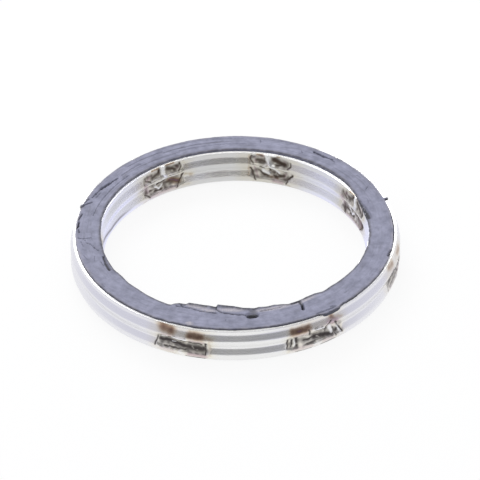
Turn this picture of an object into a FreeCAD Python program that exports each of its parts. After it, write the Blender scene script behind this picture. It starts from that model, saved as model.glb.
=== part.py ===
import FreeCAD, Part
import os

# Exhaust gasket: a ring wound from one corrugated steel strip and one graphite tape.
# Millimetres. The ring's axis is Z and the origin is the centre of the lower sealing face.

# Steel strip
strip_thickness = 0.2
strip_height = 5.0
corrugation_depth = 0.4
crest_land = 0.36

# Winding, from the bore outwards
bore_diameter = 37.4
inner_plies = 3
filler_turns = 4
outer_plies = 3
seam_angle = -50.0

# Graphite tape
filler_thickness = 0.615
tape_start_sweep = 69.0
tape_end_sweep = 110.0
nip_sweep = 12.0

# Sealing faces, pressed from the tape over the strip's edges
face_height = 0.25
face_inner_lap = 0.15
face_outer_gap = 0.2

# Sizes that follow
lip_height = strip_height / 2
ridge_height = 0.22 * strip_height
crest_reach = corrugation_depth / 2
metal_step = strip_thickness / 2
filled_step = (strip_thickness + filler_thickness) / 2
ring_mid_height = lip_height + face_height

ORIGIN = FreeCAD.Vector(0, 0, 0)
AXIS = FreeCAD.Vector(0, 0, 1)


def half_turns():
    """Centre on X and inner radius of each half turn of the strip.

    At each half turn the radius grows by half a pitch and the centre moves by as much, so
    that the strip runs on without a step. The pitch is one strip where metal lies on metal
    and a strip and a tape where the tape runs between the turns.
    """
    steps = [metal_step] * (2 * inner_plies - 1)
    steps += [filled_step] * (2 * filler_turns)
    steps += [metal_step] * (2 * outer_plies - 1)
    centre = -metal_step / 2
    radius = bore_diameter / 2 + crest_reach
    turns = [(centre, radius)]
    for index, step in enumerate(steps):
        centre += step if index % 2 == 0 else -step
        radius += step
        turns.append((centre, radius))
    return turns


def first_angle(index):
    """Where a half turn starts: even ones lie on the +Y side and odd ones on the -Y side."""
    return 0 if index % 2 == 0 else 180


def plain_side(radius):
    """Side of a turn that is buried in the ring, from the lower lip to the upper."""
    return [FreeCAD.Vector(radius, 0, -lip_height), FreeCAD.Vector(radius, 0, lip_height)]


def corrugated_side(radius, open_way):
    """Open side of a band, which looks inwards (-1) or outwards (1): two ridges stand out
    towards the open, and both lips and the valley between the ridges lie back."""
    ridge = radius + open_way * crest_reach
    valley = radius - open_way * crest_reach
    points = [FreeCAD.Vector(valley, 0, -lip_height)]
    for height, reach in ((-ridge_height, ridge), (0, valley), (ridge_height, ridge)):
        points.append(FreeCAD.Vector(reach, 0, height - crest_land / 2))
        points.append(FreeCAD.Vector(reach, 0, height + crest_land / 2))
    points.append(FreeCAD.Vector(valley, 0, lip_height))
    return points


def arc_between(inner_side, outer_side, centre, start, sweep=180):
    """Part of a turn between two sides, about a vertical axis through a centre on X."""
    outline = inner_side + outer_side[::-1] + inner_side[:1]
    section = Part.Face(Part.makePolygon(outline))
    section.rotate(ORIGIN, AXIS, start)
    arc = section.revolve(ORIGIN, AXIS, sweep)
    arc.translate(FreeCAD.Vector(centre, 0, 0))
    return arc


def inner_band(turns):
    """The welded inner turns, metal on metal: the strip's start is a step in the bore."""
    halves = []
    for index in (0, 1):
        centre, radius = turns[index]
        back = plain_side(radius + inner_plies * strip_thickness)
        bore_side = corrugated_side(radius, -1)
        halves.append(arc_between(bore_side, back, centre, first_angle(index)))
    return halves


def outer_band(turns, first):
    """The welded outer turns, metal on metal: the strip's end is a step on the outside."""
    halves = []
    for index in (first, first + 1):
        centre, radius = turns[index]
        rim = corrugated_side(radius + outer_plies * strip_thickness, 1)
        halves.append(arc_between(plain_side(radius), rim, centre, first_angle(index)))
    return halves


def single_turns(turns, first, last):
    """The turns that run on their own through the graphite, from one band to the other."""
    halves = []
    for index in range(first, last):
        centre, radius = turns[index]
        back = plain_side(radius + strip_thickness)
        halves.append(arc_between(plain_side(radius), back, centre, first_angle(index)))
    return halves


def nip(centre, radius, start):
    """Two plies pressed together where the gap for the tape opens or closes between them."""
    half = strip_thickness / 2
    return arc_between(plain_side(radius - half), plain_side(radius + half), centre, start,
                       nip_sweep)


def steel_winding(turns):
    """The strip, from its start in the bore to its end on the outside."""
    outer_start = len(turns) - 2 * outer_plies
    pieces = inner_band(turns)
    pieces += single_turns(turns, 2 * inner_plies, outer_start)
    pieces += outer_band(turns, outer_start)
    opening_centre, opening_radius = turns[0]
    pieces.append(nip(opening_centre, opening_radius + inner_plies * strip_thickness, 0))
    closing_centre, closing_radius = turns[outer_start + 1]
    pieces.append(nip(closing_centre, closing_radius, 180 - nip_sweep))
    return pieces[0].multiFuse(pieces[1:]).removeSplitter()


def tapered_tape(turns, index, start, sweep):
    """Tape where the pitch changes: it fills the crescent between two half turns."""
    inner_centre, inner_radius = turns[index]
    outer_centre, outer_radius = turns[index + 2]
    inside = plain_side(outer_radius - 2 * (filler_thickness + strip_thickness))
    blank = arc_between(inside, plain_side(outer_radius), outer_centre, start, sweep)
    core = arc_between(plain_side(0), plain_side(inner_radius + strip_thickness),
                       inner_centre, first_angle(index))
    return blank.cut(core)


def graphite_tape(turns):
    """The tape between the turns, from its thin start to its thin end."""
    opening = 2 * inner_plies - 2
    closing = len(turns) - 2 * outer_plies - 1
    start = first_angle(opening) + tape_start_sweep
    pieces = [tapered_tape(turns, opening, start, 180 - tape_start_sweep)]
    for index in range(opening + 1, closing):
        centre, radius = turns[index]
        front = plain_side(radius + strip_thickness)
        back = plain_side(radius + strip_thickness + filler_thickness)
        pieces.append(arc_between(front, back, centre, first_angle(index)))
    pieces.append(tapered_tape(turns, closing, first_angle(closing), tape_end_sweep))
    return pieces


def sealing_face(turns, underside):
    """Flat ring of graphite over the strip's edges, from the inner band to the outer one."""
    inner_radius = turns[0][1] + inner_plies * strip_thickness - face_inner_lap
    outer_radius = turns[-2 * outer_plies][1] - face_outer_gap
    base = FreeCAD.Vector(0, 0, underside)
    disc = Part.makeCylinder(outer_radius, face_height, base, AXIS)
    return disc.cut(Part.makeCylinder(inner_radius, face_height, base, AXIS))


def graphite_filler(turns):
    """The tape with both sealing faces, which stand proud of the strip."""
    pieces = graphite_tape(turns)
    pieces.append(sealing_face(turns, lip_height))
    pieces.append(sealing_face(turns, -lip_height - face_height))
    return pieces[0].multiFuse(pieces[1:]).removeSplitter()


def place(shape):
    """Turn the seam to its angle and stand the ring on its lower sealing face."""
    shape.rotate(ORIGIN, AXIS, seam_angle)
    shape.translate(FreeCAD.Vector(0, 0, ring_mid_height))
    return shape


def main():
    os.makedirs("parts", exist_ok=True)
    turns = half_turns()
    place(steel_winding(turns)).exportStep("parts/steel_winding.step")
    place(graphite_filler(turns)).exportStep("parts/graphite_filler.step")


main()
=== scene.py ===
import math

import bpy
import numpy as np
from mathutils import Matrix, Vector


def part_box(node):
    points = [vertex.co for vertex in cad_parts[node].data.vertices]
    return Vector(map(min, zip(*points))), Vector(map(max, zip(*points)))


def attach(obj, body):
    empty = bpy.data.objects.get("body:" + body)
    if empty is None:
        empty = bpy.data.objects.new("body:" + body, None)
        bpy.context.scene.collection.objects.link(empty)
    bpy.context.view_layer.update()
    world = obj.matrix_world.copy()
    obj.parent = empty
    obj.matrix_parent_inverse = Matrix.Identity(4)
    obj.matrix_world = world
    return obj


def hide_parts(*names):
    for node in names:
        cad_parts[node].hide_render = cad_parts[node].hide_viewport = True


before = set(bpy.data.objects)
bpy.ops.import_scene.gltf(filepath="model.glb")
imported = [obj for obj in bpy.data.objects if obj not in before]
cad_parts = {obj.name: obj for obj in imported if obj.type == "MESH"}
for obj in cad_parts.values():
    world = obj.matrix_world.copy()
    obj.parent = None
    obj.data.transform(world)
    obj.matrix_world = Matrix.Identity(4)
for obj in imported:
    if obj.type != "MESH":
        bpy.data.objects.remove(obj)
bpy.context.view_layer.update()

bl_info = {
    "name": "Wound Exhaust Gasket",
    "version": (1, 0, 0),
    "blender": (4, 5, 0),
    "location": "3D View > Sidebar > Gasket",
    "description": "Builds the steel turns, the graphite faces and the stage of a wound gasket",
    "category": "Object",
}

STEEL_LOW, STEEL_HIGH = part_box("steel_winding")
FACE_LOW, FACE_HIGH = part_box("graphite_filler")

MM = 0.001
RING_MID = (STEEL_LOW[2] + STEEL_HIGH[2]) / 2 / MM
LIP_HEIGHT = (STEEL_HIGH[2] - STEEL_LOW[2]) / 2 / MM
FACE_HEIGHT = (FACE_HIGH[2] - FACE_LOW[2]) / 2 / MM
RIM_RADIUS = STEEL_HIGH[1] / MM - 0.01

# Angles are in degrees, counted from +X towards +Y; lengths in the shape code are in mm.
DEGREE = math.radians(1)
SEAM_ANGLE = -50.0
FRONT_DIRECTION = math.radians(281)
STEEL_COLUMNS = 1280
FACE_COLUMNS = 1440
OPEN_ROWS = 44
FACE_ROWS = 42
BOTTOM_ROWS = 12

# The W of the strip: the ridges' height above its middle, and how far it sits below the
# middle of the ring in each band.
RIDGE_HEIGHT = 1.15
BORE_DROP = 0.45
RIM_DROP = 0.34

# The face lies over steel below the first of these radii and above the second, and its pits
# stay shallow there. The turns between begin at one radius and grow by a pitch.
STEEL_UNDER_FACE = (19.68, 22.58)
SHALLOW_PIT = 0.20
FIRST_TURN = 19.6
TURN_PITCH = 0.84
FACE_MIDDLE = 21.0

# The tape below the lips: radii of its sides and of the lower face's edges, and the strength of
# the painted shade on its rim side and bore side.
TAPE_BODY = (19.66, 22.86)
LOWER_FACE = (19.35, 22.72)
SIDE_SHADE = 0.80
BORE_SIDE_SHADE = 0.35

# Spot welds: the angle of the first pair, the pitch between pairs, how many there are and which
# one is only lightly burnt. A pair's marks reach a length along the strip to both sides; its
# prints are pressed in and crinkled, its beads stand out and its burnt places are eaten away.
BORE_WELDS = {"first": 122.9, "pitch": -49.1, "count": 7, "faint": None}
RIM_WELDS = {"first": 250.6, "pitch": 48.0, "count": 6, "faint": 2}
FAINT_SHARE = 0.6
MARK_REACH = 7.5
PRINT_DEPTH = 0.10
BEAD_HEIGHT = 0.12
SCALE_DEPTH = 0.06
CRINKLE_HEIGHT = 0.06

# The marks of one pair of welds, as strokes on the strip in mm from the middle of the pair:
# start and end along the strip and in height, half width and strength.
# Dents are pressed in, beads are molten metal that stands out, and the others are tones; the
# thin dark strokes round the dents' ends are weld scale and painted shade on the dents' walls.
MARK_EDGES = {"dent": 6, "burnt": 2.0, "temper": 1.5, "blush": 2.2, "bead": 4}
FRONT_LEFT_PRINTS = {
    "dent": (
        (-2.9, -0.45, -1.4, -0.45, 1, 1), (1.3, -0.75, 3.1, -0.8, 0.95, 1),
        (-1.5, -0.9, 1.4, -0.9, 0.5, 0.8),
    ),
    "burnt": (
        (-3.1, -0.3, -1.7, -0.1, 0.42, 1), (-1.7, -0.1, -0.3, -0.5, 0.42, 1),
        (-0.3, -0.55, 1.2, -0.72, 0.42, 0.95), (1.2, -0.7, 3.1, -0.75, 0.66, 0.97),
        (1, 0.12, 2.9, 0.05, 0.14, 0.8), (-3.62, 0.1, -4, -1.4, 0.12, 0.9),
        (3.48, 0.2, 3.4, -1.55, 0.15, 1), (-2.6, -1.25, -0.9, -1.2, 0.15, 0.9),
        (-0.9, -1.2, 0.7, -1.2, 0.17, 0.8), (-2.9, -0.75, -1.5, -0.75, 0.3, 0.45),
        (0.6, -2.35, 3.4, -2.38, 0.08, 0.7),
    ),
    "temper": (
        (-2.8, 2, -1.7, 1.75, 0.92, 0.82), (1.3, 1.45, 2.8, 1.33, 0.7, 0.8),
        (3.2, 1.4, 4.2, 1.2, 0.6, 0.35), (-3.3, 1.4, -3.9, -1.6, 0.35, 0.16),
        (3.9, 1.6, 4.1, -1.6, 0.45, 0.26), (-3.1, -2.2, -1, -2.25, 0.22, 0.3),
    ),
    "blush": (
        (-3, 0.75, -1.6, 0.8, 0.14, 0.7), (1.2, 0.55, 3.2, 0.5, 0.16, 0.9),
        (-3.2, -1.75, -1.4, -1.8, 0.25, 0.5), (1, -1.9, 3.4, -1.95, 0.35, 1),
    ),
    "bead": (
        (-1.3, 0.62, 0.6, 0.5, 0.17, 1), (-3, 0.35, -2, 0.48, 0.09, 0.8),
        (-1.4, -0.14, -0.9, -0.17, 0.08, 0.8), (-0.15, -1.8, 0.1, -2, 0.4, 0.7),
    ),
}
FRONT_RIGHT_PRINTS = {
    "dent": (
        (-3.7, -0.8, -2.4, -0.8, 1, 1), (2.2, -0.3, 3.3, -0.6, 1.1, 1),
        (-1.6, -0.9, 1.6, -0.8, 0.55, 0.8),
    ),
    "burnt": (
        (-4.35, 0.1, -4.5, -1.3, 0.14, 1), (-3.74, -0.05, -3.85, -1.1, 0.16, 0.95),
        (-3.05, 0.05, -2.97, -1.3, 0.2, 1), (-1.18, 1.05, -0.89, -0.1, 0.11, 0.9),
        (-2, -0.72, -0.3, -0.55, 0.17, 1), (-0.3, -0.6, 1.3, -0.8, 0.5, 1),
        (1.2, -0.8, 2.6, -1.1, 0.42, 1), (-1.5, -1.4, -0.2, -1.3, 0.2, 0.7),
        (2.4, 1.2, 1.55, 0.65, 0.12, 0.9), (1.55, 0.65, 1.5, -0.2, 0.12, 0.9),
        (3.05, 0.9, 4.3, -1.5, 0.14, 1), (2.77, -0.2, 3.3, -1.75, 0.13, 0.8),
        (-3.2, -2.3, -0.7, -2.4, 0.07, 0.6), (0.8, -2.3, 3.2, -2.2, 0.08, 0.6),
    ),
    "temper": (
        (-3.5, 1.25, -1.3, 1.3, 0.66, 0.82), (-2.1, 1.95, -1.2, 1.85, 0.35, 0.35),
        (2.45, 1.7, 2.9, 1.2, 0.7, 0.68), (3.5, 1.45, 4.2, 1.2, 0.42, 0.35),
        (-4.2, 1.5, -4.2, -2, 0.45, 0.22), (4.1, 0.8, 4.3, -1.6, 0.5, 0.2),
    ),
    "blush": (
        (-3.2, 0.45, -1.4, 0.5, 0.2, 0.6), (2.1, 1.1, 3.3, 0.85, 0.5, 1),
        (-3.3, -1.8, -0.8, -1.9, 0.4, 0.5), (1.2, -1.7, 2.6, -1.8, 0.3, 0.5),
    ),
    "bead": (
        (-0.15, 0.75, 1.2, 0.55, 0.15, 0.9), (3.4, -0.1, 4.1, -1.8, 0.13, 0.8),
        (2.1, 0.3, 2.6, -0.9, 0.25, 0.8), (-3.4, -0.1, -3.4, -1.2, 0.1, 0.7),
        (-0.3, -1.7, 0.5, -1.9, 0.3, 0.6),
    ),
}
RIM_MARKS = (FRONT_LEFT_PRINTS, FRONT_RIGHT_PRINTS)
BACK_LEFT_PRINTS = {
    "dent": (
        (-2.7, 1.45, -0.7, 1.45, 0.72, 1), (0.5, 1.5, 2.8, 1.35, 0.7, 1),
        (-2.6, -0.75, 2.6, -0.75, 0.85, 1),
    ),
    "burnt": (
        (-2.85, 2.15, -3.1, 1.6, 0.13, 1), (-3.1, 1.6, -2.7, 0.85, 0.13, 0.9),
        (-0.9, 1.9, -2.1, 1.3, 0.42, 0.85), (3.05, 1.85, 3, 1.3, 0.11, 0.9),
        (3, 1.3, 2.1, 0.8, 0.11, 0.9), (0.45, 2.1, 0.6, 1.7, 0.26, 1),
        (0.6, 1.6, 1.7, 1.3, 0.45, 0.75), (-3.25, 0.3, -2.85, -1, 0.14, 1),
        (-2.85, -1, -2.3, -1.9, 0.12, 0.8), (-0.3, 0.1, 0.9, -0.1, 0.2, 1),
        (1.2, -0.9, 2.2, -0.8, 0.24, 0.8), (3.2, -1, 2.3, -1.8, 0.12, 0.9),
        (-0.3, -0.4, -1.2, -0.5, 0.35, 0.7), (0.1, -1.2, 1.3, -1.3, 0.15, 0.9),
    ),
    "temper": (
        (-0.6, 2.48, -2, 2.5, 0.18, 0.72), (0.4, 2.45, 1.6, 2.45, 0.16, 0.72),
        (-3.5, 2.2, -4, 1.2, 0.4, 0.22), (-3.7, 0.1, -4.6, -0.4, 0.5, 0.3),
        (-3.2, -1.7, -4.2, -1.8, 0.3, 0.26), (3.5, 1.2, 3.7, -1.6, 0.4, 0.18),
        (3, -2.2, 3.3, -2.3, 0.3, 0.28), (-1.3, -0.2, -2.6, -0.9, 0.5, 0.95),
    ),
    "blush": (
        (-2.4, 1.9, -2.55, 1.4, 0.17, 1), (2.1, 1.75, 2.7, 1.25, 0.24, 1),
        (3.2, 0.6, 2.6, -0.8, 0.4, 0.8), (-2.2, -1.7, 2, -1.9, 0.4, 0.6),
    ),
    "bead": (
        (-0.25, 2.6, -0.1, 1.7, 0.34, 1), (-0.1, 1.9, -0.45, 0.6, 0.34, 1),
        (-0.1, 0.42, 1.4, 0.2, 0.13, 1), (1.25, -0.35, 0.65, -1, 0.16, 1),
        (0.65, -1, 0.05, -0.5, 0.17, 1), (-0.7, 0.5, -2.6, 0.35, 0.1, 0.5),
    ),
}
BACK_RIGHT_PRINTS = {
    "dent": (
        (-2.4, 1.45, -0.7, 1.45, 0.68, 1), (0.9, 1.5, 2.3, 1.5, 0.68, 1),
        (-2.2, -0.8, 2.1, -0.8, 0.85, 1),
    ),
    "burnt": (
        (2.7, 2.1, 2.9, 1.6, 0.13, 1), (2.9, 1.6, 2.5, 0.9, 0.12, 0.9),
        (1.8, 1.5, 0.8, 1.35, 0.42, 0.8), (-0.6, 1.85, -2.2, 1.25, 0.5, 1),
        (-1.6, 1.1, -0.9, 0.9, 0.25, 0.8), (-3.05, 1.8, -3.2, 1.3, 0.12, 1),
        (-3.2, 1.3, -2.65, 0.8, 0.12, 0.9), (2.85, 0.05, 2.6, -0.6, 0.14, 1),
        (2.6, -0.6, 2.2, -2, 0.12, 0.9), (1.6, -0.3, 0.9, -0.95, 0.22, 0.9),
        (0.9, -1, -1, -1.1, 0.33, 0.95), (-1, -0.95, -2, -0.7, 0.38, 0.95),
        (-3.35, -0.4, -2.75, -1.2, 0.14, 1), (-2.75, -1.2, -2.4, -2, 0.11, 0.9),
        (1.4, 0.45, 0.9, 0.25, 0.13, 0.9), (-0.05, 0.35, 0, -0.6, 0.14, 0.9),
    ),
    "temper": (
        (1.9, 2.4, 0.95, 2.3, 0.34, 0.48), (-0.7, 2.35, -1.3, 2.4, 0.22, 0.5),
        (3, 2, 3.1, -1.2, 0.45, 0.32), (-3.2, 1.8, -3.4, 0.4, 0.35, 0.16),
        (-2.6, -2, -3, -2.2, 0.3, 0.3), (0.4, -1.2, -1.2, -1.35, 0.25, 0.5),
    ),
    "blush": (
        (2.2, 1.9, 2.1, 1.2, 0.14, 0.9), (-2.2, 1.8, -2.25, 1.2, 0.18, 1),
        (2.3, 0.4, 1.8, -1.5, 0.14, 0.9), (-2.4, -0.3, -2, -1.2, 0.15, 0.9),
        (-0.6, -1.8, -1.8, -1.9, 0.35, 0.9), (1.2, 2.3, 0.9, 2, 0.25, 0.5),
    ),
    "bead": (
        (0.6, 2.6, 0.2, 1.4, 0.36, 1), (0.4, 2.5, -0.7, 2.45, 0.2, 1),
        (0.2, 1.4, -0.4, 0.6, 0.36, 1), (-0.4, 0.6, -1.25, -0.25, 0.22, 1),
        (0.8, 0.5, 0.2, 0.45, 0.12, 0.8), (1, -0.2, 0.3, -0.65, 0.3, 1),
        (-1.5, 0.45, -2.6, 0.35, 0.1, 0.5),
    ),
}
BORE_MARKS = (BACK_LEFT_PRINTS, BACK_RIGHT_PRINTS)

# Marks in the upper face, as strokes: angle and radius of both ends, half width (mm) and depth.
TEARS = (
    (49.5, 21.95, 54, 21.8, 0.1, 0.45), (53, 21.8, 57.8, 21.95, 0.13, 0.45),
    (47.8, 21.7, 50, 21.9, 0.05, 0.2), (26.6, 21.2, 27.4, 21.6, 0.05, 0.15),
    (26, 20.95, 26.6, 21.2, 0.04, 0.1), (61.6, 21, 62.6, 21.4, 0.05, 0.14),
    (79.4, 21.55, 79.5, 22.05, 0.05, 0.16), (48.6, 22.65, 49.4, 22.75, 0.07, 0.2),
    (18, 20.2, 21, 20.35, 0.05, 0.08), (34, 21.9, 36, 21.8, 0.06, 0.1),
    (66, 22.4, 72, 22.55, 0.05, 0.1), (86, 22.35, 100, 22.35, 0.05, 0.09),
    (96, 21.7, 118, 21.62, 0.06, 0.08), (84, 20.98, 112, 21.05, 0.06, 0.08),
    (112, 20.62, 128, 20.75, 0.05, 0.08), (118, 21.95, 134, 22.05, 0.07, 0.1),
    (129, 21.3, 139, 21.25, 0.07, 0.1), (137, 20.45, 152, 20.5, 0.06, 0.12),
    (152, 20.5, 168, 20.62, 0.06, 0.12), (141.5, 21.25, 146.5, 21.45, 0.08, 0.3),
    (146, 21.45, 150.8, 21.85, 0.16, 0.45), (150.8, 21.85, 157, 22.05, 0.07, 0.25),
    (153, 21.45, 158, 21.6, 0.05, 0.14), (164.4, 23, 162.2, 22.55, 0.14, 0.4),
    (162.2, 22.55, 159.6, 21.7, 0.1, 0.3), (158, 22.4, 161.5, 22.75, 0.08, 0.25),
    (167.7, 22.26, 171.5, 22.5, 0.1, 0.3), (172.6, 22.34, 175.1, 22.38, 0.12, 0.4),
    (175.1, 22.4, 176.8, 22.8, 0.2, 0.45), (177, 22.3, 179, 22.1, 0.07, 0.2),
    (182.5, 20.3, 182.9, 21.4, 0.05, 0.18), (182.9, 21.4, 182.4, 22.3, 0.06, 0.2),
    (183.4, 21.4, 185.6, 21.15, 0.05, 0.15), (185.6, 21.15, 187, 20.5, 0.06, 0.16),
    (187, 20.5, 189.4, 20.2, 0.06, 0.16), (189.4, 20.2, 191.6, 19.7, 0.07, 0.16),
    (184.5, 21.9, 187.5, 21.7, 0.05, 0.12), (193.5, 22, 196.5, 21.7, 0.05, 0.1),
    (196, 19.4, 201, 19.6, 0.16, 0.4), (201, 19.62, 205.5, 19.66, 0.2, 0.4),
    (199, 20.1, 202, 20, 0.06, 0.12), (195, 20.6, 198, 20.9, 0.05, 0.1),
    (265.8, 20.5, 266, 20.9, 0.05, 0.1), (275.5, 19.76, 277.6, 19.74, 0.5, 0.8),
    (276.6, 18.3, 277.4, 19, 0.55, 0.18), (298.1, 18.8, 297.9, 19.8, 0.2, 0.7),
    (297.9, 19.8, 296.9, 20.7, 0.19, 0.7), (294.5, 18.8, 298, 18.8, 0.16, 0.5),
    (343.4, 22.55, 346.8, 22.65, 0.14, 0.5), (244, 19.1, 250, 18.8, 0.09, 0.24),
    (249.9, 18.76, 254.7, 19.1, 0.08, 0.26), (254.7, 19.1, 261.5, 19.2, 0.09, 0.26),
    (261.1, 18.3, 264, 19, 0.1, 0.3), (264, 19, 268.3, 19.28, 0.1, 0.32),
    (268.3, 19.28, 274.6, 19.6, 0.11, 0.34), (261, 17.6, 261.4, 18.3, 0.09, 0.3),
    (245.5, 18.55, 246.6, 18.85, 0.12, 0.3), (280, 19, 290, 18.9, 0.07, 0.18),
    (243.8, 19, 249, 18.9, 0.09, 0.2), (300, 22.55, 307, 22.75, 0.09, 0.2),
    (306.5, 22.3, 308, 22.7, 0.08, 0.16), (316, 21.3, 316.6, 21.4, 0.06, 0.08),
    # The strokes from 8 to 19.5 degrees near radius 19.1 are painted shadow in the gap under the
    # lifted bore edge.
    (212, 22.2, 214, 22.3, 0.05, 0.08), (8.2, 19.26, 11.5, 19.2, 0.4, 0.9),
    (11, 19.16, 15, 19.1, 0.32, 0.9), (14.5, 19.08, 19.5, 19.04, 0.24, 0.9),
    (236, 22.6, 239, 22.65, 0.05, 0.1),
)

# The face's edges: angle and radius, joined by straight lines.
BORE_EDGE = (
    (0, 19.15), (6, 19), (19, 18.82), (30, 19.45), (40, 19.7), (67, 19.76), (120, 19.6),
    (160, 19.4), (180, 19.02), (220, 19.02), (240, 19.22), (313, 19.05), (333, 19.1),
    (353, 19.18),
)
RIM_EDGE = (
    (0, 22.5), (40, 22.7), (80, 23.02), (120, 22.98), (160, 22.75), (193, 22.58), (240, 22.72),
    (280, 22.72), (300, 22.85), (320, 22.9), (340, 22.8),
)

# The broken front of the inner edge, which hangs over the bore in plates: angle and radius.
FRONT_EDGE = (
    (205, 18.9), (212, 18.82), (218, 18.92), (223, 18.86), (229, 18.98), (235, 19.1),
    (240, 19.15), (241.4, 19.02), (242.2, 18.56), (244, 18.16), (247.2, 18.02), (247.9, 17.6),
    (252, 17.46), (258, 17.48), (260.8, 17.62), (261.3, 17.02), (265.5, 17.13), (269, 17.3),
    (273, 17.72), (275.6, 17.86), (278.2, 18.04), (280.2, 17.88), (284, 18.04), (287.4, 17.97),
    (291, 18.24), (293, 18.54), (298.3, 18.52), (302.7, 18.35), (307, 18.42), (310.4, 18.8),
    (315.4, 18.72), (320.3, 18.83), (326, 18.92), (332, 19),
)

# A line of painted shade low in the bore, under its bottom ridge: angle and height above the
# middle (mm).
SHADE_LINE_HALF_WIDTH = 0.17
BORE_SHADE_LINE = (
    (143, -1.55), (150, -1.4), (160, -1.38), (167, -1.05), (172, -0.9), (178, -0.8),
)

# Heat colours of the steel: pale straw to red brown, by strength, and the purple of the most;
# the pale pink of lightly scorched metal, and the bright metal of the beads.
HEAT_COLOURS = (
    (0.16, (0.84, 0.81, 0.73)),
    (0.34, (0.66, 0.57, 0.46)),
    (0.55, (0.39, 0.28, 0.2)),
    (0.76, (0.235, 0.15, 0.11)),
)
LAST_HEAT_COLOUR = (0.20, 0.12, 0.20)
BLUSH_COLOUR = (0.62, 0.5, 0.51)
BEAD_COLOUR = (0.93, 0.93, 0.92)

# Peeled patches that are paler than the face: angle, radius, half length and half width (mm).
PALE_PATCHES = (
    (252.3, 18.2, 1.8, 0.5), (258, 18.7, 1.3, 0.35), (268, 18.3, 2, 0.5), (287, 18.85, 3.2, 0.45),
    (300, 19, 2.2, 0.35), (252.8, 22.25, 0.55, 0.45), (169, 22.75, 1.6, 0.22),
)


def wound_angle(theta, seam):
    """Part of a turn from the seam to each angle, from 0 to 1."""
    return np.mod(theta - seam, 360.0) / 360.0


def corrugation(height, depth, sharpness=0.985):
    """How far the open side of a band stands out at each height above its middle.

    A cosine with a ridge at each ridge height and a valley between them, sharpened by an
    arcsine so that the flanks run straight; beyond the ridges it ends in flat lips.
    """
    wave = -np.cos(np.pi * np.clip(np.abs(height), 0, 2 * RIDGE_HEIGHT) / RIDGE_HEIGHT)
    return depth / 2 * np.arcsin(sharpness * wave) / math.asin(sharpness)


def ripple(theta, seed, slowest, fastest, terms):
    """Smooth closed noise along the ring: a sum of sines with whole periods a turn. Here and
    in grain, each use has a seed of its own."""
    rng = np.random.default_rng(seed)
    periods = np.round(np.geomspace(slowest, fastest, terms))[:, None]
    phases = rng.uniform(0, 2 * np.pi, terms)[:, None]
    weights = (rng.uniform(0.5, 1.0, terms) / np.sqrt(np.arange(1, terms + 1)))[:, None]
    waves = weights * np.sin(periods * np.radians(theta).ravel()[None, :] + phases)
    return (waves.sum(axis=0) / weights.sum()).reshape(np.shape(theta))


def grain(along, across, seed, coarse, fine, terms=18):
    """Smooth noise over a surface: plane sines of random direction, wavelengths in mm."""
    rng = np.random.default_rng(seed)
    total = np.zeros(np.broadcast(along, across).shape)
    weight_sum = 0.0
    for wavelength in np.geomspace(coarse, fine, terms):
        turn, phase = rng.uniform(0, 2 * np.pi, 2)
        weight = math.sqrt(wavelength)
        step = 2 * np.pi / wavelength
        total += weight * np.sin(step * (along * math.cos(turn) + across * math.sin(turn)) + phase)
        weight_sum += weight
    return total / weight_sum * 2.2


def soft_step(value, width):
    """0 below, 1 above, with a smooth rise of the given width round zero."""
    return 0.5 + 0.5 * np.tanh(value / width)


def turn_between(theta, centre):
    """Signed angle in degrees from a centre to each angle, from -180 to 180."""
    return np.mod(theta - centre + 180.0, 360.0) - 180.0


def bell(theta, centre, half_width, power=2):
    """1 at an angle and falling off to both sides, with a flatter top for a higher power."""
    return np.exp(-(turn_between(theta, centre) / half_width) ** power)


def closed_ring(name, theta, radius, height, attributes):
    """A closed mesh from radius and height on a grid: rows go round the ring, columns round
    its section, anticlockwise with the radius to the right, so that faces point outwards."""
    angle = np.radians(theta)[:, None]
    rows, columns = radius.shape
    points = np.empty((rows, columns, 3))
    points[..., 0] = radius * np.cos(angle) * MM
    points[..., 1] = radius * np.sin(angle) * MM
    points[..., 2] = (height + RING_MID) * MM
    index = np.arange(rows * columns).reshape(rows, columns)
    ahead = np.roll(index, -1, axis=0)
    faces = np.stack([index, ahead, np.roll(ahead, -1, axis=1), np.roll(index, -1, axis=1)], -1)
    return grid_object(name, points.reshape(-1, 3), faces.reshape(-1, 4), attributes)


def grid_object(name, points, faces, attributes):
    """A smooth-shaded object from points and four-sided faces, with values at its points."""
    mesh = bpy.data.meshes.new(name)
    mesh.vertices.add(len(points))
    mesh.vertices.foreach_set("co", points.astype(np.float32).ravel())
    mesh.loops.add(faces.size)
    mesh.loops.foreach_set("vertex_index", faces.astype(np.int32).ravel())
    mesh.polygons.add(len(faces))
    mesh.polygons.foreach_set("loop_start", np.arange(0, faces.size, 4, dtype=np.int32))
    mesh.polygons.foreach_set("use_smooth", np.ones(len(faces), dtype=bool))
    mesh.update(calc_edges=True)
    mesh.validate()
    for label, values in attributes.items():
        layer = mesh.attributes.new(label, "FLOAT", "POINT")
        layer.data.foreach_set("value", np.clip(values, 0, 1).astype(np.float32).ravel())
    piece = bpy.data.objects.new(name, mesh)
    bpy.context.scene.collection.objects.link(piece)
    return piece


def welded_columns(welds):
    """Angles of the columns round a band, set closer together where it is welded.

    The share of columns up to an angle is the running sum of a density that doubles round
    each weld; the angles are read back from it at even steps.
    """
    fine = np.arange(7200) / 20.0
    density = np.ones_like(fine)
    for pair in range(welds["count"]):
        gap = turn_between(fine, welds["first"] + pair * welds["pitch"])
        density += 0.9 * soft_step(12.5 - np.abs(gap), 1.0)
    running = np.concatenate([[0], np.cumsum(density)]) / density.sum()
    even = (np.arange(STEEL_COLUMNS) + 0.5) / STEEL_COLUMNS
    return np.interp(even, running, np.arange(7201) / 20.0)


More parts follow.
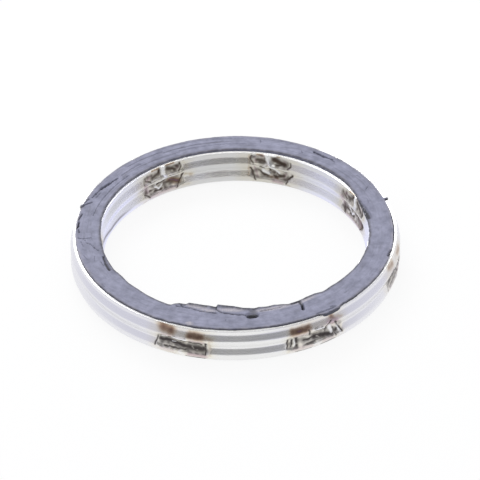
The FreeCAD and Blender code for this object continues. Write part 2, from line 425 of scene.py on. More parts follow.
def stroke(along, height, ends, edge=3):
    """Soft line from one point of the strip to another: 1 on it, falling off at its width
    by a bell curve whose edge is sharper for a higher power."""
    start_along, start_height, end_along, end_height, half_width, strength = ends
    run, rise = end_along - start_along, end_height - start_height
    square = max(run * run + rise * rise, 1e-9)
    share = np.clip(((along - start_along) * run + (height - start_height) * rise) / square, 0, 1)
    gap = np.hypot(along - start_along - share * run, height - start_height - share * rise)
    return strength * np.exp(-(gap / half_width) ** edge)


def weld_marks(theta, height, radius, welds, patterns, seed):
    """Spot welds on an open side of the steel, as one array for each kind of mark.

    Each weld is a pair of prints in a faint halo, drawn by the strokes of one of the
    patterns; the edges of all strokes are shaken by the same noise.
    """
    shape = np.broadcast(theta, height).shape
    arc = np.broadcast_to(theta * DEGREE * radius, shape)
    level = np.broadcast_to(height, shape)
    shake_along = 0.09 * grain(arc, level, seed + 1, 1.6, 0.5)
    shake_height = 0.09 * grain(arc, level, seed + 2, 1.6, 0.5)
    marks = {kind: np.zeros(shape) for kind in MARK_EDGES}
    for pair in range(welds["count"]):
        middle = welds["first"] + pair * welds["pitch"]
        pattern = patterns[pair % len(patterns)]
        along = turn_between(theta, middle) * DEGREE * radius
        near = np.abs(along[:, 0]) < MARK_REACH
        here = along[near] + shake_along[near]
        high = level[near] + shake_height[near]
        halo = 0.18 * np.exp(-(here / 5.0) ** 6 - (high / 2.7) ** 8)
        marks["temper"][near] = np.maximum(marks["temper"][near], halo)
        for kind, strokes in pattern.items():
            field = marks[kind][near]
            for ends in strokes:
                field = np.maximum(field, stroke(here, high, ends, MARK_EDGES[kind]))
            if pair == welds["faint"] and kind in ("burnt", "temper"):
                field = FAINT_SHARE * field
            marks[kind][near] = np.maximum(marks[kind][near], field)
    return marks


def strip_edges(share, plies):
    """Height lost along a band's lip: each ply has a rounded edge and a fine gap beside it."""
    return 0.07 * np.abs(np.cos(plies * np.pi * share)) ** 5


def painted_bore_shade(theta, height):
    """Strength of the painted shade line in the bore: a bell curve about its line, faded at both
    ends.
    """
    line = np.interp(theta, *np.array(BORE_SHADE_LINE).T)
    return 0.66 * np.exp(-((height - line) / SHADE_LINE_HALF_WIDTH) ** 2
                         - (turn_between(theta, 160) / 17.0) ** 4)


def welded_band(name, settings, facing):
    """The inner or outer welded turns, as one closed section carried round the ring.

    facing is -1 for the band round the bore and 1 for the band round the rim. The open side
    grows by one strip in a turn from its seam, where the strip's end shows as a step. The
    lips are made of the edges of the plies; the side that is buried is plain.
    """
    strip = settings.strip_thickness / MM
    depth = settings.corrugation_depth / MM
    if facing < 0:
        seam, start = SEAM_ANGLE, settings.bore_radius / MM + depth / 2 - strip / 4
        welds, patterns, drop = BORE_WELDS, BORE_MARKS, BORE_DROP
    else:
        seam, start = SEAM_ANGLE + 180, settings.rim_radius / MM - strip - depth / 2
        welds, patterns, drop = RIM_WELDS, RIM_MARKS, RIM_DROP
    theta = welded_columns(welds)
    column = theta[:, None]
    level = LIP_HEIGHT * np.linspace(-1, 1, OPEN_ROWS)[None, :]
    waver = 0.02 * ripple(column, 5 + facing, 2, 11, 5)
    path = start + wound_angle(column, seam) * strip + waver
    marks = weld_marks(column, level, start, welds, patterns, 40 + facing)
    crinkle = grain(column * DEGREE * start, level, 60 + facing, 2.2, 0.8)
    pressed = np.clip(marks["dent"], 0, 1)
    proud = corrugation(level + drop, depth) * (1 - pressed)
    proud = proud + pressed * (CRINKLE_HEIGHT * crinkle - PRINT_DEPTH)
    proud = proud + BEAD_HEIGHT * marks["bead"] - SCALE_DEPTH * marks["burnt"]
    soot = pressed * np.clip(0.34 - 0.55 * crinkle, 0, 0.85) * (1 - 0.85 * marks["bead"])
    marks["burnt"] = 1 - (1 - np.clip(np.maximum(marks["burnt"], soot), 0, 1)) ** 1.8
    # The painted shade line in the bore is drawn in the scorch colour, together with the weld
    # marks.
    if facing < 0:
        marks["burnt"] = np.maximum(marks["burnt"], painted_bore_shade(column, level))
    corner = 0.05 * np.exp(-((LIP_HEIGHT - np.abs(level)) / 0.06) ** 2)
    open_side = path + facing * (proud - corner)
    back = path - facing * settings.plies * strip
    share = np.linspace(0, 1, 6 * settings.plies + 1)[1:-1]
    lip = LIP_HEIGHT - strip_edges(share, settings.plies)
    low_share = np.linspace(0, 1, 2 * settings.plies + 1)[1:-1]
    ones = np.ones_like(column)
    back_level = np.array([1.0, 0.5, -0.5, -1.0])[None, :] * LIP_HEIGHT
    top = open_side[:, -1:] * (1 - share) + back * share
    bottom = back * (1 - low_share) + open_side[:, :1] * low_share
    radius = np.concatenate([open_side, top, back * np.ones_like(back_level), bottom], axis=1)
    height = np.concatenate([level * ones, lip * ones, back_level * ones,
                             -LIP_HEIGHT * ones * np.ones_like(low_share)], axis=1)
    sideways = soft_step(np.abs(np.cos(np.radians(column))) - 0.60, 0.12)
    marks["temper"] = marks["temper"] * np.clip(0.95 + 0.22 * crinkle, 0, 1.15)
    # Painted reflection: the strip at both sides of the bore is tinted with the lavender of the
    # side light.
    marks["cool"] = sideways * np.ones_like(level) * (facing < 0)
    attributes = {}
    for kind in ("burnt", "temper", "blush", "bead", "cool"):
        fade = marks[kind][:, -1:] * (1 - share) ** 1.5
        if kind == "temper":
            fade = fade * (0.5 if facing < 0 else 0.0)
        rest = np.zeros((theta.size, back_level.size + low_share.size))
        attributes[kind] = np.concatenate([marks[kind], fade, rest], axis=1)
    if facing < 0:
        radius, height = radius[:, ::-1], height[:, ::-1]
        attributes = {kind: values[:, ::-1] for kind, values in attributes.items()}
    return closed_ring(name, theta, radius, height, attributes)


def edge_radius(theta, points):
    """Radius of an edge of the face: straight lines between points, smoothed along the ring."""
    angles, radii = np.array(points).T
    shifts = np.linspace(-7, 7, 9)
    joined = [np.interp(theta + shift, angles, radii, period=360) for shift in shifts]
    return np.mean(joined, axis=0)


def bore_edge(theta):
    """Radius of the face's inner edge: smooth at the back, and broken into plates in front."""
    broken = np.interp(theta, *np.array(FRONT_EDGE).T)
    front = soft_step(61.0 - np.abs(turn_between(theta, 268.5)), 1.5)
    edge = edge_radius(theta, BORE_EDGE) * (1 - front) + broken * front
    return edge + (0.06 - 0.02 * front) * ripple(theta, 11, 30, 190, 9)


def rim_edge(theta):
    """Radius of the face's outer edge, with a smear over the lip, a raised flake and a spike."""
    edge = edge_radius(theta, RIM_EDGE) + 0.05 * ripple(theta, 12, 24, 150, 9)
    smear, flake = bell(theta, 305.5, 4.2, 4), bell(theta, 162.8, 1.1)
    return edge + 0.40 * smear + 0.30 * flake + 0.80 * bell(theta, 18.5, 0.22)


def face_relief(theta, radius):
    """Depth below the sealing face at each point, and how dark, lined and pale it is; the dark
    tone is ripped graphite with painted shade in the tears' pits.

    Fine grain, faint grooves over the turns of the strip, and the tears, each a long pit
    turned by its slant.
    """
    arc = theta * DEGREE * FACE_MIDDLE
    depth = 0.018 + 0.018 * grain(arc, radius, 21, 2.2, 0.30, 22)
    turns = (radius - FIRST_TURN - TURN_PITCH * wound_angle(theta, SEAM_ANGLE)) / TURN_PITCH
    along = theta * (DEGREE * radius)
    worn = np.clip(0.5 + 1.3 * grain(along * 0.12, radius, 22, 3.0, 0.7), 0, 1)
    back = 0.35 + 0.65 * np.clip(np.sin(np.radians(theta)), 0, 1)
    groove = np.exp(-((np.abs(turns - np.round(turns))) / 0.07) ** 2)
    line = groove * worn * back
    depth = depth + 0.035 * line
    streak = grain(arc * 0.22, radius, 25, 1.3, 0.22, 26)
    line = np.maximum(line, np.clip(0.75 * streak - 0.05, 0, 0.9) * (0.55 + 0.45 * back))
    torn = np.zeros_like(depth)
    wobble = grain(along, radius, 23, 0.9, 0.18, 14)
    shake = 0.07 * wobble
    for first, first_radius, last, last_radius, half_width, pit in TEARS:
        middle = (first + last) / 2
        near = np.abs(turn_between(theta[:, 0], middle)) < 4 + abs(last - first)
        x = turn_between(theta[near], middle) * DEGREE * FACE_MIDDLE + shake[near]
        half = (last - first) / 2 * DEGREE * FACE_MIDDLE
        ends = (-half, first_radius, half, last_radius, half_width, 1.0)
        inside = stroke(x, radius[near] + 0.8 * shake[near], ends)
        depth[near] = np.maximum(depth[near], pit * inside)
        # Tears darken with their depth: ripped graphite with painted shade in the pit.
        torn[near] = np.maximum(torn[near], inside * min(1.0, 0.2 + pit * 2.2))
    inner_steel, outer_steel = STEEL_UNDER_FACE
    over_steel = soft_step(inner_steel - radius, 0.04) + soft_step(radius - outer_steel, 0.04)
    shallow = np.minimum(depth, SHALLOW_PIT)
    depth = np.maximum(np.where(over_steel > 0.1, shallow, depth), 0.004)
    pale = np.zeros_like(depth)
    for angle, centre, half_length, half_width in PALE_PATCHES:
        u = turn_between(theta, angle) * DEGREE * centre / half_length
        v = (radius - centre) / half_width
        pale = np.maximum(pale, np.exp(-(u * u + v * v) ** 2) * np.clip(0.75 + wobble, 0, 1))
    return depth, torn, line, pale


def frayed_and_shaded_edges(theta, bore_gap, rim_gap):
    """Dark margins of the upper face, by the distance from its edges: fraying with painted shade,
    a bell curve along each edge, wide round the plates in front and faint at the back."""
    ragged = bell(theta, 279, 40.0, 6)[:, None]
    plates = bell(theta, 261, 17.0, 6)[:, None]
    width = 0.30 + 0.16 * ragged + 0.28 * plates
    fray_and_shade = np.exp(-(bore_gap / width) ** 3) * (0.78 + 0.17 * ragged + 0.05 * plates)
    fray_and_shade = fray_and_shade * np.clip(0.88 + 0.5 * ripple(theta, 14, 60, 300, 8)[:, None], 0, 1)
    shade = np.clip(0.8 + 0.5 * ripple(theta, 15, 50, 260, 8)[:, None], 0, 1)
    back = np.clip(np.sin(np.radians(theta)), 0, 1)[:, None]
    front = soft_step(-np.sin(np.radians(theta)) - 0.45, 0.15)[:, None]
    # Painted shade: dark lines along both edges at the back, and along the outer edge in front
    # where the face's side is in shadow.
    for strength, gap, reach in ((0.42 * back, rim_gap, 0.30), (0.40 * back, bore_gap, 0.38),
                                 (0.85 * front, rim_gap, 0.20)):
        fray_and_shade = np.maximum(fray_and_shade, strength * np.exp(-(gap / reach) ** 2) * shade)
    return fray_and_shade


def graphite_ring(name):
    """The tape between the bands with both sealing faces, as one closed section.

    The upper face has its relief; the edges are rounded; below the steel's lips the section
    widens until it meets both bands. The section is a list of radii and heights: the upper
    face, the bore side, the lower face and the rim side.
    """
    theta = (np.arange(FACE_COLUMNS) + 0.5) * 360.0 / FACE_COLUMNS
    column = theta[:, None]
    inner = bore_edge(theta)[:, None]
    outer = rim_edge(theta)[:, None]
    share = np.linspace(0, 1, FACE_ROWS)[None, :]
    top_radius = outer + (inner - outer) * share
    depth, torn, line, pale = face_relief(column, top_radius)
    edge = np.minimum(share, 1 - share) * (outer - inner)
    bore_gap = (1 - share) * (outer - inner)
    rounding = 0.06 * np.exp(-(edge / 0.06) ** 1.5)
    droop = 0.10 * np.exp(-(bore_gap / 0.6)) * soft_step(19.0 - inner, 0.15)
    top_height = FACE_HEIGHT - depth - rounding - droop
    body_inner, body_outer = TAPE_BODY
    bottom_inner = LOWER_FACE[0] + 0.08 * ripple(theta, 31, 6, 70, 7)[:, None]
    bottom_outer = LOWER_FACE[1] + 0.06 * ripple(theta, 32, 6, 70, 7)[:, None]
    bottom_share = np.linspace(0, 1, BOTTOM_ROWS)[None, :]
    bottom_radius = bottom_inner + (bottom_outer - bottom_inner) * bottom_share
    bottom_edge = np.minimum(bottom_share, 1 - bottom_share) * 3.4
    bottom_height = 0.002 - FACE_HEIGHT + 0.12 * np.exp(-(bottom_edge / 0.12) ** 1.5)
    under = LIP_HEIGHT - 0.02
    section = (
        (top_radius, top_height),
        (inner - 0.01, top_height[:, -1:] - 0.03),
        (inner - 0.02, under + 0.10),
        (np.minimum(inner + 0.05, 19.55), under - 0.03),
        (body_inner, under - 0.10),
        (body_inner, 0.1 - LIP_HEIGHT),
        (bottom_inner + 0.02, 0.02 - LIP_HEIGHT),
        (bottom_radius, bottom_height),
        (bottom_outer + 0.02, 0.02 - LIP_HEIGHT),
        (body_outer, 0.4 - LIP_HEIGHT),
        (body_outer, LIP_HEIGHT - 0.75),
        (outer + 0.01, LIP_HEIGHT - 0.20),
        (outer + 0.01, top_height[:, :1] - 0.03),
    )
    every = np.zeros_like(inner)
    pairs = [np.broadcast_arrays(radii + every, heights + every) for radii, heights in section]
    radius = np.concatenate([pair[0] for pair in pairs], axis=1)
    height = np.concatenate([pair[1] for pair in pairs], axis=1)
    side = np.zeros((FACE_COLUMNS, radius.shape[1] - FACE_ROWS))
    # The tape's sides and lower face are darkened with painted shade, less on the bore side.
    side_shade = side + SIDE_SHADE
    side_shade[:, :4] = BORE_SIDE_SHADE
    flecks = np.clip(0.6 + ripple(theta, 13, 40, 240, 8)[:, None], 0, 1)
    margin = np.exp(-(edge / 0.25) ** 2) * flecks
    torn = np.maximum(torn, frayed_and_shaded_edges(theta, bore_gap, share * (outer - inner)))
    attributes = {
        "torn": np.concatenate([torn, side_shade], axis=1),
        "line": np.concatenate([line, side], axis=1),
        "pale": np.concatenate([np.maximum(pale, 0.5 * margin), side], axis=1),
    }
    return closed_ring(name, theta, radius, height, attributes)


class Wiring:
    """Adds nodes to one node tree and joins them. A value is a socket or a plain number."""

    def __init__(self, tree):
        self.new, self.link = tree.nodes.new, tree.links.new

    def put(self, value, socket):
        if isinstance(value, bpy.types.NodeSocket):
            self.link(value, socket)
        else:
            socket.default_value = value

    def stored(self, label):
        """Reads a value stored at the piece's points."""
        node = self.new("ShaderNodeAttribute")
        node.attribute_name = label
        return node.outputs["Fac"]

    def noise(self, scale, stretch=(1, 1, 1), detail=4.0, roughness=0.55):
        """Noise on the object's own coordinates, stretched by a mapping."""
        place = self.new("ShaderNodeTexCoord")
        mapping = self.new("ShaderNodeMapping")
        mapping.inputs["Scale"].default_value = stretch
        noise = self.new("ShaderNodeTexNoise")
        for label, value in (("Scale", scale), ("Detail", detail), ("Roughness", roughness)):
            noise.inputs[label].default_value = value
        self.link(place.outputs["Object"], mapping.inputs["Vector"])
        self.link(mapping.outputs["Vector"], noise.inputs["Vector"])
        return noise.outputs["Fac"]

    def blend(self, share, first, second):
        """Blends two colours, each a socket or a plain colour, by a share from 0 to 1."""
        mix = self.new("ShaderNodeMix")
        mix.data_type = "RGBA"
        for socket, value in ((mix.inputs[6], first), (mix.inputs[7], second)):
            plain = not isinstance(value, bpy.types.NodeSocket)
            self.put((*value[:3], 1) if plain else value, socket)
        self.link(share, mix.inputs[0])
        return mix.outputs[2]

    def rise(self, value, start, end, low=0.0, high=1.0, kind="SMOOTHSTEP"):
        """A rise or fall of a value from low to high between start and end."""
        node = self.new("ShaderNodeMapRange")
        node.interpolation_type = kind
        ends = (("From Min", start), ("From Max", end), ("To Min", low), ("To Max", high))
        for label, number in ends:
            node.inputs[label].default_value = number
        self.link(value, node.inputs["Value"])
        return node.outputs["Result"]

    def sum(self, operation, first, second=0.0, third=0.0):
        """A sum or product of values."""
        node = self.new("ShaderNodeMath")
        node.operation = operation
        for socket, value in zip(node.inputs, (first, second, third)):
            self.put(value, socket)
        return node.outputs[0]

    def mix_shaders(self, share, first, second, output):
        """Blends two shaders by a share from 0 to 1, and shows them on the surface."""
        mix = self.new("ShaderNodeMixShader")
        for value, socket in zip((share, first.outputs[0], second.outputs[0]), mix.inputs):
            self.link(value, socket)
        self.link(mix.outputs[0], output.inputs["Surface"])

    def bump(self, height, strength, distance, shader):
        """Fine relief on a shader."""
        node = self.new("ShaderNodeBump")
        node.inputs["Strength"].default_value = strength
        node.inputs["Distance"].default_value = distance
        self.link(height, node.inputs["Height"])
        self.link(node.outputs["Normal"], shader.inputs["Normal"])


def new_material(name):
    """A node material with its wiring and its shader."""
    material = bpy.data.materials.new(name)
    material.use_nodes = True
    return material, Wiring(material.node_tree), material.node_tree.nodes["Principled BSDF"]


def steel_finish(settings, scorch_and_shade_colour):
    """Bright rolled strip: fine lines along the strip, heat tints and scorched weld prints.

    The dark marks also paint shade at the dents' walls and a line of shade in the bore, and both
    sides of the bore take a painted reflection of the side light.
    """
    material, wiring, shader = new_material("rolled_steel")
    tint = wiring.new("ShaderNodeValToRGB")
    wiring.link(wiring.stored("temper"), tint.inputs["Fac"])
    stops = tint.color_ramp.elements
    stops[0].position, stops[1].position = 0.02, 0.97
    stops[0].color = (*settings.steel_colour, 1)
    stops[1].color = (*LAST_HEAT_COLOUR, 1)
    for position, colour in HEAT_COLOURS:
        stops.new(position).color = (*colour, 1)
    heated = tint.outputs["Color"]
    # At both sides of the bore the colour is a painted reflection of the lavender side light,
    # except where heat tints it.
    side_lit = wiring.blend(wiring.stored("cool"), heated, settings.painted_side_light_colour)
    tinted = wiring.rise(wiring.stored("temper"), 0.0, 0.15, kind="LINEAR")
    colour = wiring.blend(tinted, side_lit, heated)
    blotches = wiring.rise(wiring.noise(900, detail=6), 0.22, 0.42, kind="LINEAR")
    # The dark marks are weld scale and painted shade: the dents' walls and the bore's shade line.
    scorch_and_shade = wiring.sum("MULTIPLY", wiring.stored("burnt"), blotches)
    colour = wiring.blend(wiring.stored("blush"), colour, BLUSH_COLOUR)
    colour = wiring.blend(scorch_and_shade, colour, scorch_and_shade_colour)
    colour = wiring.blend(wiring.stored("bead"), colour, BEAD_COLOUR)
    wiring.link(colour, shader.inputs["Base Color"])
    shader.inputs["Metallic"].default_value = 1.0
    lines = wiring.noise(60, stretch=(1, 1, 120), detail=3)
    roughness = settings.steel_roughness
    rough = wiring.rise(lines, 0.0, 1.0, roughness, roughness + 0.12, kind="LINEAR")
    rough = wiring.sum("MULTIPLY_ADD", scorch_and_shade, 0.25, rough)
    wiring.link(rough, shader.inputs["Roughness"])
    wiring.bump(lines, 0.12, 0.00002, shader)
    return material


def graphite_finish(settings):
    """Matt blue-grey graphite: soft mottling, turn lines and pale peeled bits; tears, edges and
    sides are darkened with ripped graphite and painted shade.
    """
    material, wiring, shader = new_material("pressed_graphite")
    mottle = wiring.noise(700, detail=5, roughness=0.6)
    mottle = wiring.rise(mottle, 0.22, 0.78, kind="LINEAR")
    colour = wiring.blend(mottle, settings.graphite_dark, settings.graphite_light)
    for label, tone in (("line", settings.graphite_line), ("pale", settings.graphite_pale),
                        ("torn", settings.graphite_torn_and_shade)):
        colour = wiring.blend(wiring.stored(label), colour, tone)
    wiring.link(colour, shader.inputs["Base Color"])
    shader.inputs["Roughness"].default_value = 0.62
    shader.inputs["Specular IOR Level"].default_value = 0.35
    wiring.bump(wiring.noise(2600, detail=4), 0.35, 0.00004, shader)
    return material


def floor_finish(settings):
    """Pale matt floor. Part of it is plain white to the camera, and the rest keeps the shadow.

    To the steel's reflections it glows as painted light: white beside the ring, a little blue from
    painted side light and dimmer further out at both sides, and dimmer inside the bore as painted
    shade.
    """
    material, wiring, shader = new_material("studio_floor")
    rise, join = wiring.rise, wiring.sum
    shader.inputs["Base Color"].default_value = (*settings.floor_colour, 1)
    shader.inputs["Roughness"].default_value = 0.9
    shader.inputs["Specular IOR Level"].default_value = 0.1
    white = wiring.new("ShaderNodeEmission")
    path = wiring.new("ShaderNodeLightPath")
    glossy = path.outputs["Is Glossy Ray"]
    place = wiring.new("ShaderNodeTexCoord")
    parts = wiring.new("ShaderNodeSeparateXYZ")
    wiring.link(place.outputs["Object"], parts.inputs[0])
    reach = wiring.new("ShaderNodeVectorMath")
    reach.operation = "LENGTH"
    wiring.link(place.outputs["Object"], reach.inputs[0])
    radius = reach.outputs["Value"]
    # For reflections the floor glows as painted light, blue at both sides as painted side light.
    side = rise(join("ABSOLUTE", parts.outputs["X"]), 0.004, 0.015)
    inside = rise(radius, 0.0200, 0.0188)
    far = rise(radius, 0.027, 0.040)
    tinted = join("MULTIPLY", side, join("MAXIMUM", inside, join("MULTIPLY_ADD", far, 0.62, 0.38)))
    tint = wiring.blend(join("MULTIPLY", tinted, glossy), (1, 1, 1), settings.side_colour)
    wiring.link(tint, white.inputs["Color"])
    # Inside the bore the glow is dimmer, a painted shade.
    bore = join("MULTIPLY_ADD", side, settings.bore_side_light - settings.bore_light,
                settings.bore_light - 1)
    out = join("MULTIPLY", join("MULTIPLY", far, side), settings.far_light - 1)
    change = join("MULTIPLY_ADD", inside, bore, out)
    wiring.link(join("MULTIPLY_ADD", change, glossy, 1.0), white.inputs["Strength"])
    share = join("MULTIPLY_ADD", path.outputs["Is Camera Ray"], settings.floor_white, glossy)
    wiring.mix_shaders(share, shader, white, material.node_tree.nodes["Material Output"])
    return material


def settle(piece, material, node):
    """Gives a piece its finish and its body, and hides the CAD node that it stands for."""
    piece.data.materials.append(material)
    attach(piece, "root")
    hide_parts(node)
    return piece


LENGTH = {"unit": "LENGTH", "subtype": "DISTANCE", "precision": 5}


def colour_setting(name, description, default):
    """A colour that the user can change."""
    return bpy.props.FloatVectorProperty(
        name=name, description=description, default=default, min=0, max=1, subtype="COLOR")


def share_setting(name, description, default, most=1):
    """A share, a roughness or a brightness that the user can change."""
    return bpy.props.FloatProperty(
        name=name, description=description, default=default, min=0, max=most, subtype="FACTOR")


class GasketSteelSettings(bpy.types.PropertyGroup):
    bore_radius: bpy.props.FloatProperty(
        name="Bore radius", description="From the axis to the ridges of the inner turns",
        default=0.0187, min=0.001, **LENGTH)
    rim_radius: bpy.props.FloatProperty(
        name="Rim radius", description="From the axis to the lips of the outer turns",
        default=RIM_RADIUS * MM, min=0.002, **LENGTH)
    strip_thickness: bpy.props.FloatProperty(
        name="Strip thickness", description="Thickness of the steel strip",
        default=0.0002, min=0.00005, **LENGTH)
    corrugation_depth: bpy.props.FloatProperty(
        name="Corrugation depth", description="From the valley to the ridges, across the strip",
        default=0.0004, min=0.0, **LENGTH)
    plies: bpy.props.IntProperty(
        name="Plies", description="Turns welded metal to metal in each band", default=3, min=1)
    steel_colour: colour_setting("Steel", "Colour of the clean strip", (0.86, 0.858, 0.855))
    # The scorch colours paint weld scale, and also painted shade at the dents' walls and in the
    # bore.
    scorch_and_shade_colour: colour_setting(
        "Scorch and shade", "Colour of the burnt weld prints", (0.068, 0.058, 0.056))
    bore_scorch_and_shade_colour: colour_setting(
        "Bore scorch and shade", "Colour of the burnt weld prints in the bore", (0.085, 0.062, 0.050))
    # Colour of the painted reflection of the side light on the bore's sides.
    painted_side_light_colour: colour_setting(
        "Painted side light", "Colour of the strip at both sides of the bore", (0.91, 0.92, 0.99))
    steel_roughness: share_setting("Roughness", "Roughness of the clean strip", 0.20)


class GasketGraphiteSettings(bpy.types.PropertyGroup):
    graphite_dark: colour_setting("Dark", "Darker tone of the face", (0.166, 0.172, 0.238))
    graphite_light: colour_setting("Light", "Lighter tone of the face", (0.353, 0.361, 0.480))
    graphite_line: colour_setting(
        "Turn lines", "Tone over the edges of the strip", (0.150, 0.152, 0.195))
    graphite_pale: colour_setting("Peeled", "Tone of peeled and worn places", (0.50, 0.47, 0.50))
    # Dark tone of ripped graphite, and painted shade in tears, at the face's edges and on the
    # tape's sides.
    graphite_torn_and_shade: colour_setting(
        "Torn and shade", "Tone inside tears and at broken edges", (0.035, 0.035, 0.045))


class GasketStageSettings(bpy.types.PropertyGroup):
    floor_colour: colour_setting("Floor", "Colour of the floor", (0.95, 0.95, 0.95))
    floor_white: share_setting("Floor white", "Share of the floor that shows plain white", 0.87)
    bore_light: share_setting(
        "Bore light", "Brightness of the floor that the bore reflects", 0.72)
    bore_side_light: share_setting(
        "Bore side light", "Brightness of that floor towards both sides", 1.04, most=2)
    far_light: share_setting(
        "Far floor", "Brightness of the floor further out at both sides", 0.87)
    front_strength: bpy.props.FloatProperty(
        name="Front", description="Strength of the low light from the front", default=0.22, min=0)
    world_strength: bpy.props.FloatProperty(
        name="World", description="Strength of the even light all round", default=0.95, min=0)
    side_colour: colour_setting(
        "Side light", "Colour of the light from both sides", (0.85, 0.85, 0.975))
    lamp_power: bpy.props.FloatProperty(
        name="Lamp", description="Power of the soft lamp behind the ring", default=0.6, min=0,
        unit="POWER")
    camera_elevation: bpy.props.FloatProperty(
        name="Elevation", description="Angle at which the camera looks down",
        default=math.radians(37.02), subtype="ANGLE", unit="ROTATION")
    camera_roll: bpy.props.FloatProperty(
        name="Roll", description="Turn of the picture about its middle",
        default=math.radians(1.12), subtype="ANGLE", unit="ROTATION")
    camera_distance: bpy.props.FloatProperty(
        name="Distance", description="From the camera to the ring's middle",
        default=0.9588, unit="LENGTH", subtype="DISTANCE")
    camera_lens: bpy.props.FloatProperty(
        name="Lens", description="Focal length in millimetres", default=504.9)
    ring_pixel: bpy.props.FloatVectorProperty(
        name="Ring in picture", description="Pixel of the ring's middle in a 480 pixel square",
        size=2, default=(234.98, 246.48))


class GASKET_OT_inner_turns(bpy.types.Operator):
    """Builds the welded inner turns of the strip, round the bore"""
    bl_idname = "gasket.inner_turns"
    bl_label = "Inner turns"

    def execute(self, context):
        settings = context.scene.gasket_steel
        piece = welded_band("inner_turns", settings, -1)
        finish = steel_finish(settings, settings.bore_scorch_and_shade_colour)
        settle(piece, finish, "steel_winding")
        return {"FINISHED"}


class GASKET_OT_outer_turns(bpy.types.Operator):
    """Builds the welded outer turns of the strip, round the rim"""
    bl_idname = "gasket.outer_turns"
    bl_label = "Outer turns"

    def execute(self, context):
        settings = context.scene.gasket_steel
        piece = welded_band("outer_turns", settings, 1)
        finish = steel_finish(settings, settings.scorch_and_shade_colour)
        settle(piece, finish, "steel_winding")
        return {"FINISHED"}


class GASKET_OT_graphite(bpy.types.Operator):
    """Builds the graphite between the turns, with both sealing faces"""
    bl_idname = "gasket.graphite"
    bl_label = "Graphite faces"

    def execute(self, context):
        settings = context.scene.gasket_graphite
        piece = graphite_ring("graphite_faces")
        settle(piece, graphite_finish(settings), "graphite_filler")
        return {"FINISHED"}


class GASKET_OT_stage(bpy.types.Operator):
    """Lays the floor, sets the light and aims the camera"""
    bl_idname = "gasket.stage"
    bl_label = "Stage"

    def execute(self, context):
        settings = context.scene.gasket_stage
        lay_floor(settings)
        light_room(context.scene, settings)
        aim_camera(context.scene, settings)
        context.scene.view_settings.view_transform = "Standard"
        return {"FINISHED"}


def lay_floor(settings):
    """A square floor under the ring."""
    half = 0.6
    corners = np.array([(-half, -half, 0), (half, -half, 0), (half, half, 0), (-half, half, 0)])
    floor = grid_object("floor", corners, np.array([[0, 1, 2, 3]]), {})
    floor.data.materials.append(floor_finish(settings))


def softbox(scene, name, place, target, size, power):
    """A rectangular lamp that faces a point."""
    lamp = bpy.data.lights.new(name, "AREA")
    lamp.shape = "RECTANGLE"
    lamp.size, lamp.size_y = size
    lamp.energy = power
    holder = bpy.data.objects.new(name, lamp)
    holder.location = place
    aim = Vector(target) - Vector(place)
    holder.rotation_euler = aim.to_track_quat("-Z", "Y").to_euler()
    scene.collection.objects.link(holder)


def light_room(scene, settings):
    """Soft white light from all round: a little blue at both sides and dim low in front.

    The front share is a smooth step of the direction's depth times one of its height.
    """
    world = bpy.data.worlds.new("studio")
    world.use_nodes = True
    world.node_tree.nodes.clear()
    wiring = Wiring(world.node_tree)
    rise, join = wiring.rise, wiring.sum
    place = wiring.new("ShaderNodeTexCoord")
    parts = wiring.new("ShaderNodeSeparateXYZ")
    wiring.link(place.outputs["Generated"], parts.inputs[0])
    across = join("MULTIPLY", parts.outputs["X"], math.cos(FRONT_DIRECTION))
    ahead = join("MULTIPLY_ADD", parts.outputs["Y"], math.sin(FRONT_DIRECTION), across)
    dim = join("MULTIPLY", rise(ahead, 0.40, 0.68), rise(parts.outputs["Z"], 0.60, 0.35))
    drop = settings.front_strength - settings.world_strength
    strength = join("MULTIPLY_ADD", dim, drop, settings.world_strength)
    side = rise(join("ABSOLUTE", parts.outputs["X"]), 0.45, 0.90)
    low = join("MULTIPLY", side, rise(parts.outputs["Z"], 0.45, 0.15))
    strength = join("MULTIPLY", strength, join("MULTIPLY_ADD", low, settings.far_light - 1, 1.0))
    even = wiring.new("ShaderNodeBackground")
    wiring.link(wiring.blend(side, (1, 1, 1), settings.side_colour), even.inputs["Color"])
    wiring.link(strength, even.inputs["Strength"])
    seen = wiring.new("ShaderNodeBackground")
    seen.inputs["Color"].default_value = (1, 1, 1, 1)
    seen.inputs["Strength"].default_value = 1.0
    camera = wiring.new("ShaderNodeLightPath").outputs["Is Camera Ray"]
    wiring.mix_shaders(camera, even, seen, wiring.new("ShaderNodeOutputWorld"))
    scene.world = world
    softbox(scene, "back_box", (-0.10, 0.30, 0.30), (0, 0, 0), (0.30, 0.20), settings.lamp_power)


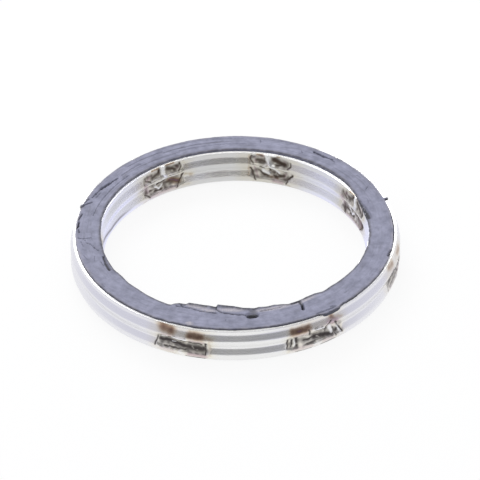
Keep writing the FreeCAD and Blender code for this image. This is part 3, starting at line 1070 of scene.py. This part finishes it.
def aim_camera(scene, settings):
    """Turns the camera to its elevation and roll, and slides it in its own plane until the
    ring's middle falls on its pixel."""
    tilt, roll = settings.camera_elevation, settings.camera_roll
    side = Vector((1, 0, 0))
    rise = Vector((0, math.sin(tilt), math.cos(tilt)))
    back = Vector((0, -math.cos(tilt), math.sin(tilt)))
    right = side * math.cos(roll) - rise * math.sin(roll)
    up = side * math.sin(roll) + rise * math.cos(roll)
    camera = bpy.data.cameras.new("camera")
    camera.lens = settings.camera_lens
    camera.sensor_width = 36
    camera.clip_end = 10
    metre_per_pixel = settings.camera_distance * 36 / settings.camera_lens / 480
    middle = Vector((0, 0, RING_MID * MM))
    across = (240 - settings.ring_pixel[0]) * metre_per_pixel
    along = (settings.ring_pixel[1] - 240) * metre_per_pixel
    place = middle + right * across + up * along + back * settings.camera_distance
    holder = bpy.data.objects.new("camera", camera)
    turn = Matrix((right, up, back)).transposed().to_4x4()
    holder.matrix_world = Matrix.Translation(place) @ turn
    scene.collection.objects.link(holder)
    scene.camera = holder


class GASKET_PT_panel(bpy.types.Panel):
    """Lists the gasket's builders and their settings"""
    bl_idname = "GASKET_PT_panel"
    bl_label = "Wound gasket"
    bl_space_type = "VIEW_3D"
    bl_region_type = "UI"
    bl_category = "Gasket"

    def draw(self, context):
        layout = self.layout
        for group in ("gasket_steel", "gasket_graphite", "gasket_stage"):
            settings = getattr(context.scene, group)
            box = layout.box()
            for name in settings.__annotations__:
                box.prop(settings, name)
        for builder in BUILDERS:
            layout.operator(builder)


BUILDERS = ("gasket.inner_turns", "gasket.outer_turns", "gasket.graphite", "gasket.stage")
CLASSES = (
    GasketSteelSettings, GasketGraphiteSettings, GasketStageSettings,
    GASKET_OT_inner_turns, GASKET_OT_outer_turns, GASKET_OT_graphite, GASKET_OT_stage,
    GASKET_PT_panel,
)
GROUPS = {
    "gasket_steel": GasketSteelSettings,
    "gasket_graphite": GasketGraphiteSettings,
    "gasket_stage": GasketStageSettings,
}


def register():
    for item in CLASSES:
        bpy.utils.register_class(item)
    for name, group in GROUPS.items():
        setattr(bpy.types.Scene, name, bpy.props.PointerProperty(type=group))


def unregister():
    for name in GROUPS:
        delattr(bpy.types.Scene, name)
    for item in reversed(CLASSES):
        bpy.utils.unregister_class(item)


def main():
    register()
    bpy.ops.gasket.inner_turns()
    bpy.ops.gasket.outer_turns()
    bpy.ops.gasket.graphite()
    bpy.ops.gasket.stage()


if __name__ == "__main__":
    main()
